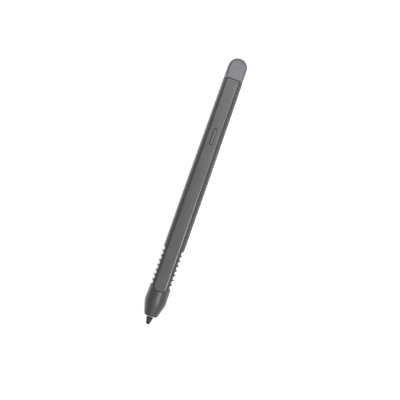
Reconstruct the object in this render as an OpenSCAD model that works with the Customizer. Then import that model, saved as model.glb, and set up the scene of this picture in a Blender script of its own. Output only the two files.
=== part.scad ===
/* [Overall] */
// Length from the nib's tip to the end of the cap
overall_length = 116; // [110:0.5:122]
// Height of the nib's axis above the flat underside
axis_height = 3.25; // [3.2:0.05:3.4]

/* [Barrel] */
// Width of the barrel beside the end cap
rear_width = 8.3; // [8:0.05:8.6]
// Width of the barrel at its middle
middle_width = 8.8; // [8.6:0.05:9]
// Width of the barrel's grip, over the ribs
grip_width = 8.8; // [8.6:0.05:9]
// Greatest width of the nose
nose_width = 9.1; // [8.9:0.05:9.3]
// Height of the barrel's rounded back above the nib's axis, before the cover is let in
back_top = 3.13; // [3.05:0.01:3.2]
// Radius of the barrel's rounded shoulders
shoulder_r = 3.2; // [2.8:0.1:3.4]
// Height of the nose above the nib's axis
nose_top = 3.55; // [3.4:0.05:3.7]
// Thickness of the barrel's floor
floor_wall = 0.9; // [0.8:0.05:1]
// Distance from the tip to the blunt end of the nose
nose_front = 3.8; // [3.6:0.1:4.2]
// Distance from the tip to where the nose starts to taper
taper_start = 9.4; // [9:0.1:10]
// Diameter of the blunt end of the nose
nose_end_d = 5.6; // [5.2:0.1:6]

/* [Grip ribs] */
// Distance from the tip to the first notch
grip_start = 16.15; // [16:0.05:17]
// Distance from one notch to the next
notch_pitch = 2.075; // [2:0.025:2.1]
// Number of notches on each side
notch_count = 8; // [6:1:8]
// Depth of each notch
notch_depth = 0.86; // [0.5:0.02:0.9]
// Width of the pointed rib between two notches, at its tip
rib_tip = 0.3; // [0.1:0.05:0.4]

/* [Top cover] */
// Width of the cover strip
cover_width = 5.1; // [5:0.05:5.2]
// Height of the strip's flat face above the nib's axis
cover_top = 3.1; // [3:0.05:3.2]
// Thickness of the strip
cover_thick = 1.0; // [0.9:0.05:1.1]
// Distance from the tip to the strip's front end
cover_front = 14.4; // [14:0.1:15]
// Width of the bevel around the strip's face
cover_bevel = 0.3; // [0.2:0.05:0.35]
// Depth of that bevel
cover_bevel_depth = 0.12; // [0.08:0.01:0.2]
// Radius of the strip's front corners
cover_corner_r = 1.9; // [1:0.1:2.2]

/* [End cap] */
// Length of the end cap that shows
cap_length = 9.25; // [8.75:0.05:9.5]
// Width of the end cap
cap_width = 8.05; // [7.9:0.05:8.2]
// Height of the cap's thumb face above the nib's axis
cap_top = 3.35; // [3.25:0.05:3.6]
// Radius of the cap's upper edges
cap_edge_r = 0.8; // [0.5:0.1:1]

/* [Button] */
// Distance from the tip to the middle of the button
button_at = 81.4; // [80:0.1:84]
// Length of the slot in the cover
slot_length = 7.1; // [6.8:0.1:7.4]
// Width of the slot in the cover
slot_width = 1.4; // [1.3:0.05:1.5]
// Gap around the button in its slot
button_gap = 0.2; // [0.15:0.01:0.22]
// How far the button stands above the cover
button_proud = 0.15; // [0.1:0.05:0.2]
// How far the button travels
button_travel = 0.25; // [0.2:0.01:0.25]

/* [Nib] */
// Diameter of the nib's shank
shank_d = 1.6; // [1.5:0.05:1.6]
// Radius of the nib's rounded tip
nib_tip_r = 0.9; // [0.8:0.05:1]
// Diameter of the nib's cone at its base
nib_base_d = 2.9; // [2.8:0.05:3.2]
// Distance from the tip to the cone's base
nib_base_at = 3.1; // [2.6:0.05:3.2]
// Distance from the tip to the end of the shank
shank_end = 15.5; // [15:0.1:16]
// How far the nib moves when it is pressed
nib_travel = 0.3; // [0.2:0.01:0.3]

/* [Power and board] */
// Diameter of the pin-type cell
cell_d = 3.65; // [3.6:0.05:3.65]
// Length of the cell's can
cell_length = 20; // [18:0.5:20]
// Width of the circuit board
board_width = 4.9; // [4.6:0.1:4.9]
// Thickness of the circuit board
board_thick = 0.8; // [0.6:0.1:0.8]

/* [Hidden] */

gap = 0.05;                 // usual clearance between pieces that only lie together
past = 1;                   // how far a cutter runs past the face it opens
slice = 0.01;               // thickness of the slices that a hull joins
round_fn = 64;
bottom = -axis_height;

// Stations along the pen, measured from the nib's tip
seam = 0.2;                                    // the gap that the cap's gasket fills
cap_front = overall_length - cap_length;
barrel_rear = cap_front - seam;
grip_end = grip_start + notch_count * notch_pitch;
middle_at = 60;
front_bore_end = 17;                           // the nose's round bore opens into the cavity here
narrow_end = grip_end + 1;                     // the cavity is narrower inside the grip

// The cavity
cavity_floor = bottom + floor_wall;
cavity_half = 3.1;
narrow_half = 2.6;
ledge_top = cover_top - cover_thick - 0.1;     // the cover's adhesive is 0.1 thick
ledge_thick = 0.5;
mouth_half = 2.2;                              // half the width of the slot under the cover
pocket_half = cover_width / 2 + gap;

// The nose's round parts
tube_r = 1.9;
tube_inner_r = 1.65;
tube_front = 6.9;
tube_rear = 24.4;
ring_r = 1.55;
ring_bore_r = 1.0;
ring_clear = 0.02;                             // the ring is pressed into the nose
shank_clear = 0.06;
ring_front = nib_base_at + nib_travel + gap;
bush_front = 6.05;
bush_rear = 9.5;
nib_edge = 0.16;                               // chamfer around the cone's base
shank_edge = 0.25;                             // chamfer at the shank's end
holder_front = 10;
holder_rear = 20.4;
holder_r = 1.2;
flange_r = 1.55;
flange_thick = 0.6;
rod_r = 0.6;
rod_head_r = 0.8;
rod_head_thick = 0.3;
holder_bore_past = 0.4;                        // the holder's bore runs on past the nib's shank
holder_grip = 0.03;
slit_half = 0.15;
slit_length = 4;

// The force sensor
housing_front = 25;
housing_length = 6;
housing_half = 2.1;
housing_top = 1.9;
housing_bottom = -1.9;
housing_hollow = 1.35;                         // half the housing's inner width and height
rod_clear = 0.06;
sensor_half = 1.1;                             // the pad's radius and half the die's side
base_half = 1.3;
pad_front = 27.3;
pad_thick = 0.8;
die_thick = 0.8;
base_thick = 0.8;

// The return spring
wire_r = 0.12;
coil_r = 1.0;
coil_turns = 6;
rings_per_turn = 14;
wire_sides = 8;

// The carrier and what it holds
carrier_front = 24.5;
carrier_rear = 100.5;
carrier_floor = cavity_floor + gap;
carrier_floor_thick = 0.3;
carrier_half = 3.0;
rail_thick = 0.45;
rail_top = 1.3;
flex_thick = 0.12;
flex_half = 1.2;
flex_leaves = -1.1;                            // the flex leaves the sensor's base at this height
flex_on_base = 2;                              // and covers this much of the base
flex_run = 2.1;                                // then drops to the carrier this far behind it
flex_under_board = 4;
flex_before_board = 0.9;
cell_step = 0.5;                               // the cell's crimped end
cell_step_in = 0.2;
pin_length = 0.9;
pin_r = 0.4;
tab_half = 0.55;
tab_thick = 0.12;
tab_apart = 0.1;
tab_low = -0.5;
tab_on_board = 1.6;
tab_on_can = 2.5;
tab_past_can = 1.1;
cross_bar = 1;
cross_bar_top = 0.3;
stem_hole_r = 0.6;
stem_r = 0.45;
pad_in_front = 1.5;
pad_in_rear = 4;
pad_half = 1.5;
cell_front = 33.8;
cell_rear = cell_front + cell_length;
cross_bars = [cell_front + 2.5, cell_rear - 4.5];
board_front = 56;
board_rear = 99.5;
board_under = -0.2;
board_top = board_under + board_thick;
ledge_inner = 2.0;                             // the board lies on ledges outside this
contact_stations = [90.5, 95.5];

// The button and its switch
button_top = cover_top + button_proud;
flange_gap = 0.03;
button_flange_top = cover_top - cover_thick - flange_gap;
button_flange_thick = 0.32;
switch_top = board_top + 0.7;
plunger_top = switch_top + button_travel + 0.02;

// Everything is drawn with the nib's tip at x = 0 and the nib's axis at z = 0,
// then moved so that the pen lies on z = 0 with the middle of its box over the origin.
module lying() {
    translate([-overall_length / 2, 0, axis_height]) children();
}

// A rod along the pen
module rod(from, to, r, fn = round_fn) {
    translate([from, 0, 0]) rotate([0, 90, 0]) cylinder(r = r, h = to - from, $fn = fn);
}

// A box given by its two corners
module block(low, high) {
    translate(low) cube(high - low);
}

// A box centred across the pen
module bar(from, to, half, low, high) {
    block([from, -half, low], [to, half, high]);
}

// A section's outline across the pen, anticlockwise from its right side:
// two upper corners of radius r_top, then two lower ones of radius r_low
corner_steps = 9;
function corner(across, up, r, from) =
    [for (i = [0 : corner_steps]) let (a = from + 90 * i / corner_steps)
        [across + r * cos(a), up + r * sin(a)]];
function outline(width, top, low, r_top, r_low) =
    let (upper = width / 2 - r_top, lower = width / 2 - r_low)
    concat(corner(upper, top - r_top, r_top, 0), corner(-upper, top - r_top, r_top, 90),
           corner(-lower, low + r_low, r_low, 180), corner(lower, low + r_low, r_low, 270));

// A solid through stations that each hold a distance from the tip and an outline
module loft(stations) {
    count = len(stations[0][1]);
    points = [for (s = stations, p = s[1]) [s[0], p[0], p[1]]];
    walls = [for (i = [0 : len(stations) - 2], k = [0 : count - 1])
        let (next = (k + 1) % count, a = i * count, b = a + count)
        for (face = [[a + k, b + k, b + next], [a + k, b + next, a + next]]) face];
    last = (len(stations) - 1) * count;
    ends = [[for (k = [0 : count - 1]) k], [for (k = [count - 1 : -1 : 0]) last + k]];
    polyhedron(points = points, faces = concat(walls, ends));
}

body_low_r = 2.3;
nose_top_r = 4.2;
step_length = 0.5;                             // the rims rise to the nose over this length

function body_outline(width) = outline(width, back_top, bottom, shoulder_r, body_low_r);
function nose_outline(width) = outline(width, nose_top, bottom, nose_top_r, body_low_r);
function end_outline(r) = outline(2 * r, r, -r, r - slice, r - slice);

// The barrel's outside: the nose's taper, the nose, the grip and two tapering stretches
module barrel_outside() {
    loft([
        [nose_front, end_outline(nose_end_d / 2)],
        [taper_start, nose_outline(nose_width)],
        [grip_start - step_length, nose_outline(grip_width)],
        [grip_start, body_outline(grip_width)],
        [middle_at, body_outline(middle_width)],
        [barrel_rear, body_outline(rear_width)],
    ]);
}

// Round hollows in both sides, so close together that a pointed rib is left between two
module grip_notches() {
    chord = (notch_pitch - rib_tip) / 2;
    notch_r = (chord * chord + notch_depth * notch_depth) / (2 * notch_depth);
    centre = grip_width / 2 - notch_depth + notch_r;
    for (side = [-1, 1], i = [0 : notch_count - 1])
        translate([grip_start + (i + 0.5) * notch_pitch, side * centre, bottom - past])
            cylinder(r = notch_r, h = nose_top - bottom + 2 * past, $fn = round_fn);
}

// The round passage through the nose: a front hole for the ring, then the tube's bore
module nose_bore() {
    rod(nose_front - past, bush_front, ring_r + ring_clear);
    rod(bush_front - gap, front_bore_end + past, tube_r + gap);
}

// The long cavity, its narrower mouth under the cover, and the cover's pocket
module cavity() {
    bar(front_bore_end, narrow_end, narrow_half, cavity_floor, ledge_top - ledge_thick);
    bar(narrow_end - gap, barrel_rear + past, cavity_half, cavity_floor, ledge_top - ledge_thick);
    bar(front_bore_end, barrel_rear + past, mouth_half, cavity_floor, ledge_top + past);
    translate([0, 0, ledge_top]) linear_extrude(height = nose_top)
        cover_plan(cover_front - gap, barrel_rear + past, pocket_half, cover_corner_r);
}

// The strip's outline, with round corners at the nose
module cover_plan(front, rear, half, r) {
    translate([front + r, -half]) square([rear - front - r, 2 * half]);
    translate([front, r - half]) square([r + past, 2 * (half - r)]);
    for (side = [-1, 1]) translate([front + r, side * (half - r)]) circle(r = r, $fn = round_fn);
}

contact_half_length = 1.1;
contact_half_width = 0.7;

module contact_windows(grow, low, high) {
    for (at = contact_stations)
        block([at - contact_half_length - grow, -contact_half_width - grow, low],
              [at + contact_half_length + grow, contact_half_width + grow, high]);
}

// Two shallow pockets that the cap's catches snap into
catch_at = 103.4;
catch_length = 1.6;
catch_low = -0.8;
catch_high = 0.4;
catch_proud = 0.17;
pocket_deep = 0.35;
module catch_pockets() {
    for (side = [0, 1]) mirror([0, side, 0])
        block([catch_at - gap, cavity_half - gap, catch_low - 2 * gap],
              [catch_at + catch_length + gap, cavity_half + pocket_deep, catch_high + 2 * gap]);
}

module barrel() {
    color("#66666a") difference() {
        barrel_outside();
        nose_bore();
        cavity();
        grip_notches();
        contact_windows(gap, bottom - past, cavity_floor + past);
        catch_pockets();
    }
}

// An obround along the pen
module obround(at, length, width, low, high) {
    run = (length - width) / 2;
    translate([at, 0, low]) {
        for (side = [-1, 1])
            translate([side * run, 0, 0]) cylinder(d = width, h = high - low, $fn = round_fn);
        translate([-run, -width / 2, 0]) cube([2 * run, width, high - low]);
    }
}

module top_cover() {
    low = cover_top - cover_thick;
    half = cover_width / 2;
    rear = barrel_rear;
    color("#6e6d72") difference() {
        hull() {
            translate([0, 0, low]) linear_extrude(height = cover_thick - cover_bevel_depth)
                cover_plan(cover_front, rear, half, cover_corner_r);
            translate([0, 0, cover_top - slice]) linear_extrude(height = slice)
                cover_plan(cover_front + cover_bevel, rear - cover_bevel / 2, half - cover_bevel,
                           cover_corner_r - cover_bevel);
        }
        obround(button_at, slot_length, slot_width, low - past, cover_top + past);
    }
}

// Two strips of bonding tape along the ledges and a short one across the rear
module cover_adhesive() {
    low = ledge_top;
    high = cover_top - cover_thick;
    color("#1b1b1d") for (side = [-1, 1])
        block([front_bore_end + 0.5, side > 0 ? mouth_half + gap : -pocket_half + 0.1, low],
              [barrel_rear - 0.5, side > 0 ? pocket_half - 0.1 : -mouth_half - gap, high]);
}

// Half of the cap's cross-section, from the middle out
module cap_half_section() {
    half = cap_width / 2;
    foot_r = 1.6;
    difference() {
        translate([0, bottom]) square([half, cap_top - bottom]);
        translate([half - cap_edge_r, cap_top - cap_edge_r]) square(cap_edge_r + past);
        translate([half - foot_r, bottom - past]) square([foot_r + past, foot_r + past]);
    }
    translate([half - cap_edge_r, cap_top - cap_edge_r]) circle(r = cap_edge_r, $fn = round_fn);
    translate([half - foot_r, bottom + foot_r]) circle(r = foot_r, $fn = round_fn);
}

plug_half = cavity_half - gap;
plug_front = 101;
plug_wall = 0.8;
solid_end = 1.5;                               // the plug is solid over this length at the cap

module end_cap() {
    half = cap_width / 2;
    turn_at = overall_length - half;
    plug_top = ledge_top - ledge_thick - gap;
    color("#86868a") {
        difference() {
            union() {
                translate([turn_at, 0, 0]) rotate([0, 0, -90])
                    rotate_extrude(angle = 180, $fn = 96) cap_half_section();
                for (side = [0, 1]) mirror([0, side, 0])
                    translate([cap_front, 0, 0]) rotate([90, 0, 90])
                        linear_extrude(height = turn_at - cap_front) cap_half_section();
                bar(plug_front, cap_front + past, plug_half, carrier_floor, plug_top);
                for (side = [0, 1]) mirror([0, side, 0])
                    block([catch_at, plug_half - gap, catch_low],
                          [catch_at + catch_length, plug_half + catch_proud, catch_high]);
            }
            bar(plug_front - past, cap_front - solid_end, plug_half - plug_wall,
                carrier_floor + plug_wall, plug_top + past);
        }
    }
}

// A thin seal between the cap and the barrel, with a window for the plug
module cap_gasket() {
    inset = 0.15;
    color("#2a2a2c") difference() {
        translate([barrel_rear + 0.02, 0, 0]) rotate([90, 0, 90]) linear_extrude(height = seam - 0.04)
            polygon(outline(cap_width - 2 * inset, back_top - inset, bottom + inset,
                            shoulder_r - inset, body_low_r - inset));
        bar(barrel_rear - past, cap_front + past, plug_half + gap, carrier_floor - gap,
            ledge_top - ledge_thick);
    }
}

module side_button() {
    key_length = slot_length - 2 * button_gap;
    key_width = slot_width - 2 * button_gap;
    flange_low = button_flange_top - button_flange_thick;
    color("#77767b") {
        obround(button_at, key_length, key_width, flange_low, button_top);
        obround(button_at, slot_length + 0.8, slot_width + 0.6, flange_low, button_flange_top);
        translate([button_at, 0, plunger_top + 0.02])
            cylinder(r = 0.6, h = flange_low - plunger_top, $fn = round_fn);
    }
}

plunger_r = 0.55;
switch_low_part = 0.3;                         // the switch's body below its dome
module switch_base() {
    color("#c9c9c6") difference() {
        block([button_at - 1.6, -1.3, board_top], [button_at + 1.6, 1.3, switch_top]);
        translate([button_at, 0, board_top + switch_low_part])
            cylinder(r = plunger_r + gap, h = past, $fn = round_fn);
    }
}

module switch_plunger() {
    low = board_top + switch_low_part + button_travel + 0.02;
    color("#1d1d1f") translate([button_at, 0, low])
        cylinder(r = plunger_r, h = plunger_top - low, $fn = round_fn);
}

// Nib: a round tip running tangent into a cone, then the shank
module nib() {
    slope = atan((nib_base_d / 2 - nib_tip_r) / (nib_base_at - nib_tip_r));
    touch_x = nib_tip_r * (1 - sin(slope));
    touch_r = nib_tip_r * cos(slope);
    color("#232325") {
        rotate([0, 90, 0]) rotate_extrude($fn = round_fn)
            polygon(concat(
                [[0, 0]],
                [for (a = [6 : 6 : 90 - slope]) [nib_tip_r * sin(a), nib_tip_r * (1 - cos(a))]],
                [[touch_r, touch_x], [nib_base_d / 2, nib_base_at - nib_edge],
                 [nib_base_d / 2 - nib_edge, nib_base_at], [shank_d / 2, nib_base_at],
                 [shank_d / 2, shank_end - shank_edge], [shank_d / 2 - shank_edge, shank_end],
                 [0, shank_end]]
            ));
    }
}

module ring_electrode() {
    color("#d9d9d7") difference() {
        rod(ring_front, bush_front - 2 * gap, ring_r);
        rod(ring_front - past, bush_front + past, ring_bore_r);
    }
}

module nib_bush() {
    color("#e4e2dc") difference() {
        union() {
            rod(bush_front, tube_front - gap, tube_r);
            rod(bush_front, bush_rear, tube_inner_r - gap);
        }
        rod(bush_front - past, holder_front, shank_d / 2 + shank_clear);
    }
}

module shield_tube() {
    color("#b48a3c") difference() {
        rod(tube_front, tube_rear, tube_r);
        rod(tube_front - past, tube_rear + past, tube_inner_r);
    }
}

module nib_holder() {
    color("#b9bbbe") difference() {
        union() {
            rod(holder_front, holder_rear, holder_r);
            rod(holder_rear - flange_thick, holder_rear, flange_r);
        }
        rod(holder_front - past, shank_end + holder_bore_past, shank_d / 2 + holder_grip);
        block([holder_front - past, -slit_half, -holder_r - past],
              [holder_front + slit_length, slit_half, holder_r + past]);
    }
}

module sensor_plunger() {
    color("#d8d5cc") {
        rod(holder_rear, pad_front, rod_r);
        rod(holder_rear, holder_rear + rod_head_thick, rod_head_r);
    }
}

// The spring's centre line: closed turns at both ends, open turns between
spring_front = holder_rear + 0.02 + wire_r;
spring_rear = housing_front - 0.02 - wire_r;
spring_rings = coil_turns * rings_per_turn;
function spring_share(t) = t < 1 / coil_turns ? 0.055 * t * coil_turns
    : t > 1 - 1 / coil_turns ? 1 - 0.055 * (1 - t) * coil_turns
    : 0.055 + 0.89 * (t - 1 / coil_turns) / (1 - 2 / coil_turns);
function spring_point(i, side) =
    let (t = i / spring_rings, turn = 360 * t * coil_turns, lean = 360 * side / wire_sides,
         r = coil_r + wire_r * cos(lean))
    [spring_front + (spring_rear - spring_front) * spring_share(t) + wire_r * sin(lean),
     r * cos(turn), r * sin(turn)];

module nib_spring() {
    points = [for (i = [0 : spring_rings], side = [0 : wire_sides - 1]) spring_point(i, side)];
    walls = [for (i = [0 : spring_rings - 1], side = [0 : wire_sides - 1])
        let (next = (side + 1) % wire_sides, a = i * wire_sides, b = a + wire_sides)
        for (face = [[a + side, a + next, b + next], [a + side, b + next, b + side]]) face];
    last = spring_rings * wire_sides;
    ends = [[for (side = [wire_sides - 1 : -1 : 0]) side],
            [for (side = [0 : wire_sides - 1]) last + side]];
    color("#c7c9cc") polyhedron(points = points, faces = concat(walls, ends));
}

module sensor_housing() {
    rear = housing_front + housing_length;
    color("#3b3d40") difference() {
        bar(housing_front, rear, housing_half, housing_bottom, housing_top);
        rod(housing_front - past, pad_front, rod_r + rod_clear);
        bar(pad_front - gap, rear + past, housing_hollow, -housing_hollow, housing_hollow);
    }
}

module sensor_pad() {
    color("#c8622c") rod(pad_front, pad_front + pad_thick, sensor_half);
}

module sensor_die() {
    front = pad_front + pad_thick;
    color("#4c5560") bar(front, front + die_thick, sensor_half, -sensor_half, sensor_half);
}

module sensor_base() {
    front = pad_front + pad_thick + die_thick;
    color("#eceae4") bar(front, front + base_thick, base_half, -base_half, base_half);
}

// The flex runs from the sensor's base under the cell and up to the board
module sensor_flex() {
    low = carrier_floor + carrier_floor_thick + 0.01;
    start = pad_front + pad_thick + die_thick + base_thick;
    rise = board_front - flex_before_board;
    t = flex_thick;
    drop = start + flex_run - t;
    color("#c07a1e") rotate([90, 0, 0]) translate([0, 0, -flex_half])
        linear_extrude(height = 2 * flex_half) union() {
            translate([start, flex_leaves]) square([t, flex_on_base]);
            translate([start, flex_leaves]) square([flex_run, t]);
            translate([drop, low]) square([t, flex_leaves - low + t]);
            translate([drop, low]) square([rise - drop, t]);
            translate([rise - t, low]) square([t, board_under - low]);
            translate([rise - t, board_under - t]) square([flex_under_board, t]);
        }
}

// The inner frame: a cradle for the sensor, a trough for the cell and rails for the board
module carrier() {
    floor_top = carrier_floor + carrier_floor_thick;
    housing_rear = housing_front + housing_length;
    color("#26282b") difference() {
        union() {
            bar(carrier_front, narrow_end, narrow_half - gap, carrier_floor, floor_top);
            bar(narrow_end, carrier_rear, carrier_half, carrier_floor, floor_top);
            for (side = [-1, 1]) {
                outer = side * carrier_half;
                inner = side * (carrier_half - rail_thick);
                block([narrow_end, min(outer, inner), carrier_floor],
                      [carrier_rear, max(outer, inner), rail_top]);
                shelf = side * ledge_inner;
                block([board_front, min(shelf, inner), carrier_floor],
                      [carrier_rear, max(shelf, inner), board_under]);
            }
            for (at = cross_bars)
                bar(at, at + cross_bar, carrier_half, carrier_floor, cross_bar_top);
            bar(board_rear + gap, carrier_rear, carrier_half, carrier_floor, rail_top);
        }
        rod(cell_front - gap, cell_rear + gap, cell_d / 2 + gap);
        bar(housing_rear, board_front + flex_under_board, flex_half + 2 * gap,
            floor_top, floor_top + carrier_floor_thick);
        for (at = contact_stations) translate([at, 0, carrier_floor - past])
            cylinder(r = stem_hole_r, h = 2 * past, $fn = round_fn);
    }
}

module cell() {
    color("#9fb3a8") {
        rod(cell_front, cell_rear - cell_step, cell_d / 2);
        rod(cell_rear - cell_step - gap, cell_rear, cell_d / 2 - cell_step_in);
    }
}

module cell_terminal() {
    color("#d7d7d2") rod(cell_rear, cell_rear + pin_length, pin_r);
}

// Nickel tabs from the can and from the pin to the board's front pads
module cell_tabs() {
    t = tab_thick;
    wide = 2 * tab_half;
    pin_end = cell_rear + pin_length;
    can_tab = cell_rear + tab_past_can - t;
    tab_end = board_front + tab_on_board;
    color("#c4c2ba") {
        translate([0, wide + tab_apart, 0]) rotate([90, 0, 0]) linear_extrude(height = wide) union() {
            translate([pin_end, tab_low]) square([t, board_top - tab_low + t]);
            translate([pin_end, board_top]) square([tab_end - pin_end, t]);
        }
        rotate([90, 0, 0]) linear_extrude(height = wide) union() {
            translate([cell_rear - tab_on_can, can_top]) square([tab_on_can + tab_past_can, t]);
            translate([can_tab, board_top]) square([t, can_top - board_top + t]);
            translate([can_tab, board_top]) square([tab_end - can_tab, t]);
        }
    }
}
can_top = cell_d / 2 + 0.01;

module cell_pad() {
    low = cell_d / 2 + 0.02;
    color("#2e2f31")
        bar(cell_front + pad_in_front, cell_rear - pad_in_rear, pad_half,
            low, cover_top - cover_thick - gap);
}

module circuit_board() {
    color("#1f5a3c") bar(board_front, board_rear, board_width / 2, board_under, board_top);
}

// A part soldered on the board's upper face
module chip(at, across, size) {
    translate([at - size[0] / 2, across - size[1] / 2, board_top]) cube(size);
}

module controller_chip() {
    color("#202124") chip(67, 0, [4, 4, 0.75]);
}

module power_chip() {
    color("#202124") chip(90.5, -0.9, [2.2, 2.2, 0.6]);
}

module crystal() {
    color("#cfcdc6") chip(62.6, 0, [1.6, 3.2, 0.5]);
}

module inductor() {
    color("#4a4a4d") chip(94.2, 0, [2.6, 2.2, 1]);
}

// Small capacitors and resistors in three groups of two rows
passive_rows = [69.8, 86.2, 96.6];
passive_pitch = 0.9;
passive_side = 1.7;
passive_size = [0.5, 1, 0.35];
module passives() {
    color("#b79a6a") {
        for (first = passive_rows, i = [0 : 2], side = [-1, 1])
            chip(first + i * passive_pitch, side * passive_side, passive_size);
    }
}

// A drawn metal can over the radio
can_at = 75;
can_size = [4.8, 4.2, 0.85];
module shield_can() {
    wall = 0.15;
    color("#bfc1c4") difference() {
        chip(can_at, 0, can_size);
        translate([0, 0, -gap]) chip(can_at, 0, can_size - [2 * wall, 2 * wall, wall - gap]);
    }
}

// Two gilt pads in the underside with stems up to the board
module charge_contacts() {
    recess = 0.05;
    color("#d8b25a") {
        contact_windows(0, bottom + recess, cavity_floor - gap);
        for (at = contact_stations) translate([at, 0, cavity_floor - 2 * gap])
            cylinder(r = stem_r, h = board_under - cavity_floor + 2 * gap, $fn = round_fn);
    }
}

lying() {
    barrel();
    top_cover();
    cover_adhesive();
    end_cap();
    cap_gasket();
    side_button();
    switch_base();
    switch_plunger();
    nib();
    ring_electrode();
    nib_bush();
    shield_tube();
    nib_holder();
    nib_spring();
    sensor_plunger();
    sensor_housing();
    sensor_pad();
    sensor_die();
    sensor_base();
    sensor_flex();
    carrier();
    cell();
    cell_terminal();
    cell_tabs();
    cell_pad();
    circuit_board();
    controller_chip();
    power_chip();
    crystal();
    inductor();
    passives();
    shield_can();
    charge_contacts();
}
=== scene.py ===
"""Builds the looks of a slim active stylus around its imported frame.

Sizes are in metres. The pen lies along X, with its nib's tip at the low end, its
button facing +Z, and its underside on the floor.
"""

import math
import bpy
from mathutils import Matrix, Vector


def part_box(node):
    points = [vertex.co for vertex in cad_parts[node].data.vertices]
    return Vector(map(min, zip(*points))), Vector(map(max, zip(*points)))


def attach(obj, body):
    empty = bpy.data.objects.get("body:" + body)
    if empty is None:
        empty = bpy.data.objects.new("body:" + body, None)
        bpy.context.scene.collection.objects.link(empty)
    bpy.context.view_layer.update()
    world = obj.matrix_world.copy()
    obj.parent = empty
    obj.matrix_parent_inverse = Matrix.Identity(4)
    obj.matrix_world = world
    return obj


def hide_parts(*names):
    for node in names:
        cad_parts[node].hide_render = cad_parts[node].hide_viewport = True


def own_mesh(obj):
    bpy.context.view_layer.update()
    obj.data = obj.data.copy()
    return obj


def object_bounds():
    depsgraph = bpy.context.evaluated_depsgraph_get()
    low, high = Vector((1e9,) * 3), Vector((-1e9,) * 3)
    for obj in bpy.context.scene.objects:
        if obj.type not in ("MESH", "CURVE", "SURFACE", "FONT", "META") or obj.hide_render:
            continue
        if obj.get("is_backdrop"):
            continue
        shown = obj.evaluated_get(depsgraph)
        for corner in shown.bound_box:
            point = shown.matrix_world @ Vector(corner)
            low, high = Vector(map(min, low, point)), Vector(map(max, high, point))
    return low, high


bl_info = {
    "name": "Slim Active Stylus",
    "version": (1, 0, 0),
    "blender": (4, 5, 0),
    "location": "3D View > Sidebar > Stylus",
    "description": "Shells, button, nib, inner parts, finishes and studio of a slim active stylus",
    "category": "Object",
}

import bmesh
import bpy
from bpy.props import FloatProperty, FloatVectorProperty, IntProperty, PointerProperty
from mathutils import Matrix, Vector

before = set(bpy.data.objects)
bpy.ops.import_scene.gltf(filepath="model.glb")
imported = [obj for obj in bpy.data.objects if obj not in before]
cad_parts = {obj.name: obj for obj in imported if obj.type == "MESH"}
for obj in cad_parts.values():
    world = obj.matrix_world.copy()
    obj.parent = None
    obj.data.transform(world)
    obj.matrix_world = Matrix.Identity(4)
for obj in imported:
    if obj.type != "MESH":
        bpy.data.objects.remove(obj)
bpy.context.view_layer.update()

MM = 0.001
WELD = 1e-7  # points closer than this are one point
CREASE = math.radians(35)  # faces that meet at a larger angle than this have a sharp edge


def linear(hex_colour):
    """An opaque sRGB hex colour as linear red, green, blue and alpha."""
    parts = [int(hex_colour[i : i + 2], 16) / 255 for i in (1, 3, 5)]
    straight = [c / 12.92 if c <= 0.04045 else ((c + 0.055) / 1.055) ** 2.4 for c in parts]
    return (*straight, 1.0)


# ---------------------------------------------------------------- places from the frame

RING_LOW, RING_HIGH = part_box("ring_electrode")
TIP_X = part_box("nib")[0].x
AXIS_Z = (RING_LOW.z + RING_HIGH.z) / 2


def at(along, across, up):
    """A point of the frame, from distances to the nib's tip and to its axis."""
    return Vector((TIP_X + along, across, AXIS_Z + up))


def reach(node):
    """A node's lowest and highest corner, measured from the nib's tip and axis."""
    low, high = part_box(node)
    origin = Vector((TIP_X, 0, AXIS_Z))
    return low - origin, high - origin


# ---------------------------------------------------------------- settings


def length(name, description, default_mm):
    """A property that holds a length, given in millimetres."""
    return FloatProperty(
        name=name, description=description, default=default_mm * MM, unit="LENGTH", precision=5
    )


def colour(name, description, hex_colour):
    """A property that holds a colour, given as sRGB hex."""
    return FloatVectorProperty(
        name=name, description=description, default=linear(hex_colour), size=4,
        subtype="COLOR", min=0, max=1,
    )


class StylusBarrel(bpy.types.PropertyGroup):
    """Sizes of the barrel, its nose and its grip"""

    middle_at: length("Middle at", "Distance from the tip to the widest part of the barrel", 60)
    middle_width: length("Middle width", "Width of the barrel there", 8.8)
    grip_width: length("Grip width", "Width of the barrel over the grip", 8.8)
    rear_width: length("Rear width", "Width of the barrel beside the cap", 8.3)
    back_top: length("Back height", "Height of the barrel's rounded back above the axis", 3.13)
    nose_top: length("Nose height", "Height of the nose above the axis", 3.55)
    taper_start: length("Taper start", "Distance from the tip to where the nose tapers", 9.4)
    nose_width: length("Nose width", "Greatest width of the nose", 9.1)
    nose_end: length("Nose end diameter", "Diameter of the nose's blunt end", 5.6)
    nose_edge: length("Nose edge", "Radius of the blunt end's edge", 0.25)
    upper_round: length("Shoulder rounding", "Radius of the barrel's rounded shoulders", 3.2)
    lower_round: length("Lower rounding", "Radius of the barrel's lower corners", 2.3)
    nose_round: length("Nose rounding", "Radius of the nose's upper side", 4.4)
    rim_edge: length("Rim edge", "Radius of the edge around the cover's pocket", 0.12)
    grip_start: length("Grip start", "Distance from the tip to the first notch", 16.15)
    notch_pitch: length("Notch pitch", "Distance from one notch to the next", 2.075)
    notch_depth: length("Notch depth", "Depth of each notch", 0.86)
    rib_tip: length("Rib tip", "Width of the pointed rib between two notches", 0.3)
    rib_edge: length("Rib edge", "Rounding at the tip of each rib", 0.05)
    notch_count: IntProperty(
        name="Notches", description="Number of notches on each side", default=8, min=1, max=8
    )


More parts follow.
